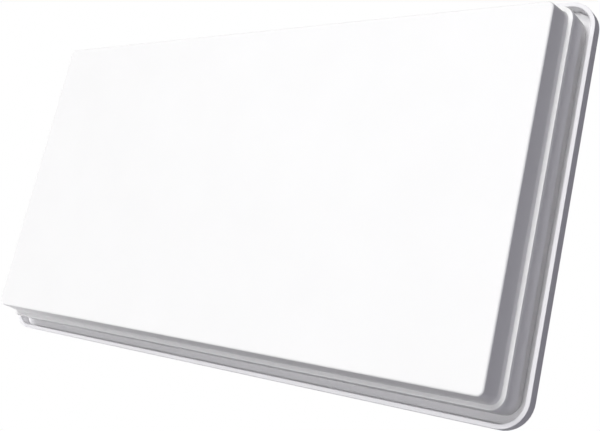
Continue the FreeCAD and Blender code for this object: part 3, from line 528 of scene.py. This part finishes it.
def hung_rings(low, high, across, along, down):
    """Rings of one piece turned about an upright axis, hung from the top of its node's box."""
    centre = (low + high) / 2.0
    return np.stack([centre.x + across * MM, centre.y + along * MM, high.z - down * MM], -1)[None]


def facing_rings(places, across, along, level):
    """Rings of pieces turned about axes along y: a stack at each place, with the levels on y in metres."""
    x = places[:, 0, None, None] + across * MM
    z = places[:, 2, None, None] + along * MM
    return np.stack([x, np.broadcast_to(level, x.shape), z], -1)


def thread(place, angle, start, end, pitch, depth):
    """Depth of a screw thread: a helix of rounded teeth that fades in at its start and out at its end."""
    phase = TURN * (place / pitch) - angle
    fade = np.clip((place - start) / pitch, 0.0, 1.0) * np.clip((end - place) / pitch, 0.0, 1.0)
    return depth * (0.5 - 0.5 * np.cos(phase)) * fade


def slot_share(across, along):
    """Share of a screw slot's depth: full in the slot, falling off at its flanks and its ends."""
    flank = np.clip((RECESS_WIDTH / 2.0 - np.abs(across)) / RECESS_FLANK + 0.5, 0.0, 1.0)
    end = np.clip((RECESS_REACH - np.abs(along)) / RECESS_RUN_OUT, 0.0, 1.0)
    return flank * end


def solid_boxes(name, radius):
    """Lowest and highest corner of each solid of a node whose solids stand well apart on x and z."""
    mesh = NODES[name].data
    points = np.empty(len(mesh.vertices) * 3, np.float32)
    mesh.vertices.foreach_get("co", points)
    points = points.reshape(-1, 3).astype(float)
    reach = SOLID_REACH * radius * MM
    boxes = []
    while len(points):
        near = np.hypot(*(points[:, [0, 2]] - points[0, [0, 2]]).T) < reach
        boxes.append([points[near].min(0), points[near].max(0)])
        points = points[~near]
    return np.array(boxes)


# Pieces

def dress(piece, slot, finish, *nodes):
    """Give a piece its finish and slot, fix it to the part, and let it stand for CAD nodes."""
    piece.data.materials.append(finish[slot])
    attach(piece, "root")
    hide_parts(*nodes)


def smooth_node(node):
    """Weld a node's loose triangles and even out the normals of its curved faces."""
    node.data.polygons.foreach_set("use_smooth", np.ones(len(node.data.polygons), bool))
    weld = node.modifiers.new("weld", "WELD")
    weld.merge_threshold = WELD_REACH
    split = node.modifiers.new("split", "EDGE_SPLIT")
    split.split_angle = math.radians(NODE_CREASE)
    normals = node.modifiers.new("normals", "WEIGHTED_NORMAL")
    normals.keep_sharp = True


def dress_nodes(finish):
    """Give every CAD node its slot's finish and even normals."""
    for slot, names in NODE_SLOTS.items():
        for name in names:
            node = NODES[name]
            node.data.materials.clear()
            node.data.materials.append(finish[slot])
            smooth_node(node)


def make_radome(finish):
    """Cover: a section of face, leaning wall, ledge and skirt, carried round the face's outline.

    The section's points are growth outside the outline and depth behind the face. Its outer
    corners are rounded, the skirt's end has the seal's groove, and the inside lies a wall away.
    """
    low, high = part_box("radome")
    depth = (high.y - low.y) / MM
    ledge = FACE_FLARE + LEDGE_WIDTH
    grow = ledge + SKIRT_FLARE
    half_width = (high.x - low.x) / 2.0 / MM - grow
    half_height = (high.z - low.z) / 2.0 / MM - grow
    lean = FACE_FLARE / FACE_STEP
    foot_rise = FOOT_REACH / (math.tan(math.radians(FOOT_LEAN)) - lean)
    foot_start = FACE_STEP - foot_rise
    slope = SKIRT_FLARE / (depth - FACE_STEP)
    outside = rounded(
        [(-2.0 * FACE_EDGE, 0.0), (0.0, 0.0), (lean * foot_start, foot_start),
         (FACE_FLARE + FOOT_REACH, FACE_STEP), (ledge - BROW_REACH, FACE_STEP),
         (ledge + slope * BROW_DROP, FACE_STEP + BROW_DROP), (grow, depth)],
        [FACE_EDGE, 2.0 * CRISP_EDGE, CRISP_EDGE, CRISP_EDGE, 2.0 * CRISP_EDGE])
    groove_out = grow - SEAL_LIP
    groove_in = groove_out - SEAL_WIDTH
    wall = grow - RADOME_WALL
    hollow = depth - FACE_STEP - RADOME_WALL
    inside = np.array(
        [(groove_out, depth), (groove_out, depth - SEAL_DEPTH), (groove_in, depth - SEAL_DEPTH),
         (groove_in, depth), (wall, depth), (wall - slope * hollow, depth - hollow),
         (FACE_FLARE - RADOME_WALL, depth - hollow), (-RADOME_WALL, RADOME_WALL)])
    growth, behind = np.concatenate([outside, inside]).T
    rings = outline_rings(half_width + growth, half_height + growth,
                          np.maximum(FACE_CORNER + growth, CRISP_EDGE), behind + low.y / MM)
    shell = ring_stack("radome_shell", rings[None] * MM, looped=False, crease=RADOME_CREASE)
    dress(shell, "radome_white", finish, "radome")


def make_bosses(finish):
    """Screw bosses inside the cover: turned posts on the tray's floor, each with a blind hole for its screw.

    Rows run from the hole's end to the floor, across the post's foot and up its outside.
    """
    places = solid_boxes("cover_screws", HEAD_RADIUS).mean(1)
    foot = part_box("radome")[1].y
    radius = np.array([PILOT_RADIUS, PILOT_RADIUS, BOSS_RADIUS, BOSS_RADIUS])
    height = np.array([PILOT_DEPTH, 0.0, 0.0, BOSS_HEIGHT])
    across, along, rise = lathe(radius, height, BOSS_COLUMNS)
    rings = facing_rings(places, across, along, foot - rise * MM)
    dress(ring_stack("radome_bosses", rings, looped=False), "radome_white", finish, "radome")


def make_screws(node, finish):
    """Pan head screws: a turned dome with a cross recess, a shank, and a cut end.

    Rows run from the shank's end up to the head's edge and over its crown to the middle. The
    recess lowers the crown where two crossed slots lie, and each screw is turned by its own angle.
    """
    boxes = solid_boxes(node, HEAD_RADIUS)
    length = (boxes[0, 1, 1] - boxes[0, 0, 1]) / MM - HEAD_HEIGHT
    dome = np.linspace(TURN / 4.0, CROWN_END, CROWN_ROWS)
    side = np.array([(TIP_RADIUS, -length), (SHANK_RADIUS - SHANK_BEVEL, -length),
                     (SHANK_RADIUS, -length + SHANK_TAPER), (SHANK_RADIUS, 0.0), (HEAD_RADIUS, 0.0),
                     (HEAD_RADIUS, HEAD_HEIGHT * HEAD_EDGE)])
    crown = np.stack([HEAD_RADIUS * np.sin(dome),
                      HEAD_HEIGHT * (HEAD_EDGE + (1.0 - HEAD_EDGE) * np.cos(dome))], -1)
    radius, height = np.concatenate([side, crown]).T
    across, along, height = lathe(radius, height, SCREW_COLUMNS)
    recess = RECESS_DEPTH * np.maximum(slot_share(across, along), slot_share(along, across))
    on_top = (np.arange(len(radius)) >= len(side))[:, None]
    rise = height - np.where(on_top, recess, 0.0)
    spin = np.random.default_rng(SPIN_SEED).uniform(0.0, TURN, len(boxes))[:, None, None]
    rings = facing_rings(boxes.mean(1), across * np.cos(spin) - along * np.sin(spin),
                         across * np.sin(spin) + along * np.cos(spin),
                         boxes[:, 1, 1, None, None] + MM * (rise - HEAD_HEIGHT))
    dress(ring_stack(node + "_cross", rings, looped=False), "screw_steel", finish, node)


def make_socket(side, finish):
    """Cable socket: stem, flange, barrel and threaded end, turned about a vertical axis, with its bore.

    Rows follow the section down the outside and back up the bore; on the threaded stretch the
    radius falls by the thread's depth.
    """
    node = f"cable_socket_{side}"
    low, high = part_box(node)
    total = (high.z - low.z) / MM
    start = total - THREAD_LENGTH
    flange_end = STEM_LENGTH + FLANGE_HEIGHT
    outer = rounded([(CORE_RADIUS + CORE_BEVEL, 0.0), (STEM_RADIUS, 0.0), (STEM_RADIUS, STEM_LENGTH),
                     (FLANGE_RADIUS, STEM_LENGTH), (FLANGE_RADIUS, flange_end),
                     (BARREL_RADIUS, flange_end), (BARREL_RADIUS, start), (THREAD_RADIUS, start)],
                    SOCKET_EDGES, steps=4)
    rows = int((THREAD_LENGTH - THREAD_LEAD) / THREAD_PITCH * ROWS_IN_PITCH)
    threaded = np.linspace(start, total - THREAD_LEAD, rows)
    outer = np.concatenate([outer, np.stack([np.full(rows, THREAD_RADIUS), threaded], -1)])
    lip = np.array([(THREAD_RADIUS - THREAD_LEAD, total - LIP_DROP), (THREAD_RADIUS - LIP_INSET, total),
                    (CORE_RADIUS + LIP_BEVEL, total), (CORE_RADIUS, total - LIP_BEVEL),
                    (CORE_RADIUS, CORE_BEVEL)])
    radius, place = np.concatenate([outer, lip]).T
    angle = round_angles(SOCKET_COLUMNS)
    cut = np.zeros((len(radius), SOCKET_COLUMNS))
    on_thread = slice(len(outer) - rows, len(outer))
    cut[on_thread] = thread(threaded[:, None], angle, start, total, THREAD_PITCH, THREAD_DEPTH)
    rings = hung_rings(low, high, *lathe(radius[:, None] - cut, place, SOCKET_COLUMNS))
    dress(ring_stack(node + "_threaded", rings, looped=True), "socket_nickel", finish, node)


def make_grommet(side, finish):
    """Rubber grommet: a turned sleeve with a rounded collar and a flared mouth.

    Rows follow the section down the outside, round the collar and into the mouth.
    """
    node = f"socket_grommet_{side}"
    low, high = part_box(node)
    total = (high.z - low.z) / MM
    bore = BARREL_RADIUS + GROMMET_ROOM
    collar = total - COLLAR_HEIGHT
    radius, place = rounded(
        [(bore, 0.0), (GROMMET_RADIUS - GROMMET_TAPER, 0.0), (GROMMET_RADIUS, GROMMET_LEAD),
         (GROMMET_RADIUS, collar), (COLLAR_RADIUS, collar), (COLLAR_RADIUS, total),
         (bore + MOUTH_FLARE, total), (bore, total - MOUTH_DEPTH)], GROMMET_EDGES).T
    rings = hung_rings(low, high, *lathe(radius, place))
    dress(ring_stack(node + "_soft", rings, looped=True), "seal_rubber", finish, node)


def make_inserts(finish):
    """Brass inserts: a knurled sleeve with a bevelled lip and a threaded bore.

    Rows follow the section along the knurled outside and back through the bore; the knurl is the
    product of two opposite helices, and the thread a single one.
    """
    node = "mount_inserts"
    boxes = solid_boxes(node, INSERT_RADIUS)
    length = (boxes[0, 1, 1] - boxes[0, 0, 1]) / MM
    angle = round_angles(INSERT_COLUMNS)
    knurled = np.linspace(INSERT_LIP, length - INSERT_LIP, KNURL_ROWS)
    bored = np.linspace(length - INSERT_LIP, INSERT_LIP, BORE_ROWS)
    twist = KNURL_TWIST * knurled[:, None]
    diamond = KNURL_DEPTH * np.cos(KNURL_COUNT * angle + twist) * np.cos(KNURL_COUNT * angle - twist)
    cut = thread(bored[:, None], angle, 0.0, length, INSERT_PITCH, INSERT_THREAD)
    sleeve = INSERT_RADIUS - KNURL_DEPTH + diamond
    lip = np.full((1, INSERT_COLUMNS), INSERT_RADIUS - INSERT_BEVEL)
    mouth = np.full((1, INSERT_COLUMNS), INSERT_BORE + INSERT_MOUTH)
    radius = np.concatenate([lip, sleeve, lip, mouth, INSERT_BORE + cut, mouth])
    place = np.concatenate([[0.0], knurled, [length, length], bored, [0.0]])
    across, along, back = lathe(radius, place, INSERT_COLUMNS)
    rings = facing_rings(boxes.mean(1), across, along, boxes[:, 1, 1, None, None] - back * MM)
    dress(ring_stack(node + "_knurled", rings, looped=True), "insert_brass", finish, node)


def make_vent(finish):
    """Vent plug: a turned cap with a toothed edge, a sunk ring on its face, and a hollow stem.

    Rows run from the stem's air way round its end, out along the cap's underside, up the toothed
    edge and in over the face; the edge's radius steps in at each tooth gap.
    """
    node = "vent_plug"
    low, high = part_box(node)
    total = (high.y - low.y) / MM
    cap = total - VENT_RISE
    sunk_out = VENT_CAP - SUNK_INSET
    sunk_in = sunk_out - SUNK_WIDTH
    radius, place = rounded(
        [(TIP_RADIUS, total - VENT_COVER), (VENT_BORE, total - VENT_COVER), (VENT_BORE, 0.0),
         (VENT_STEM - VENT_TAPER, 0.0), (VENT_STEM, VENT_LEAD), (VENT_STEM, cap), (VENT_CAP, cap),
         (VENT_CAP, total), (sunk_out, total), (sunk_out - SUNK_FLANK, total - SUNK_DEPTH),
         (sunk_in + SUNK_FLANK, total - SUNK_DEPTH), (sunk_in, total), (TIP_RADIUS, total)],
        VENT_EDGES, steps=5).T
    columns = VENT_TEETH * 2 * TOOTH_COLUMNS
    gap = (np.arange(columns) // TOOTH_COLUMNS) % 2
    on_edge = ((radius > VENT_CAP - TOOTH_REACH) & (place > cap - TOOTH_MARGIN))[:, None]
    across, along, back = lathe(radius[:, None] - np.where(on_edge, TOOTH_DEPTH * gap, 0.0), place, columns)
    centre = np.array([(low + high) / 2.0])
    rings = facing_rings(centre, across, along, low.y + back * MM)
    dress(ring_stack(node + "_toothed", rings, looped=False), "vent_grey", finish, node)


bpy.context.scene.view_settings.view_transform = "Standard"
make_camera()
make_world()
make_lamps()
make_floor()
finishes = make_finishes()
dress_nodes(finishes)
make_radome(finishes)
make_bosses(finishes)
make_screws("cover_screws", finishes)
make_screws("array_screws", finishes)
for socket_side in ("left", "right"):
    make_socket(socket_side, finishes)
    make_grommet(socket_side, finishes)
make_inserts(finishes)
make_vent(finishes)
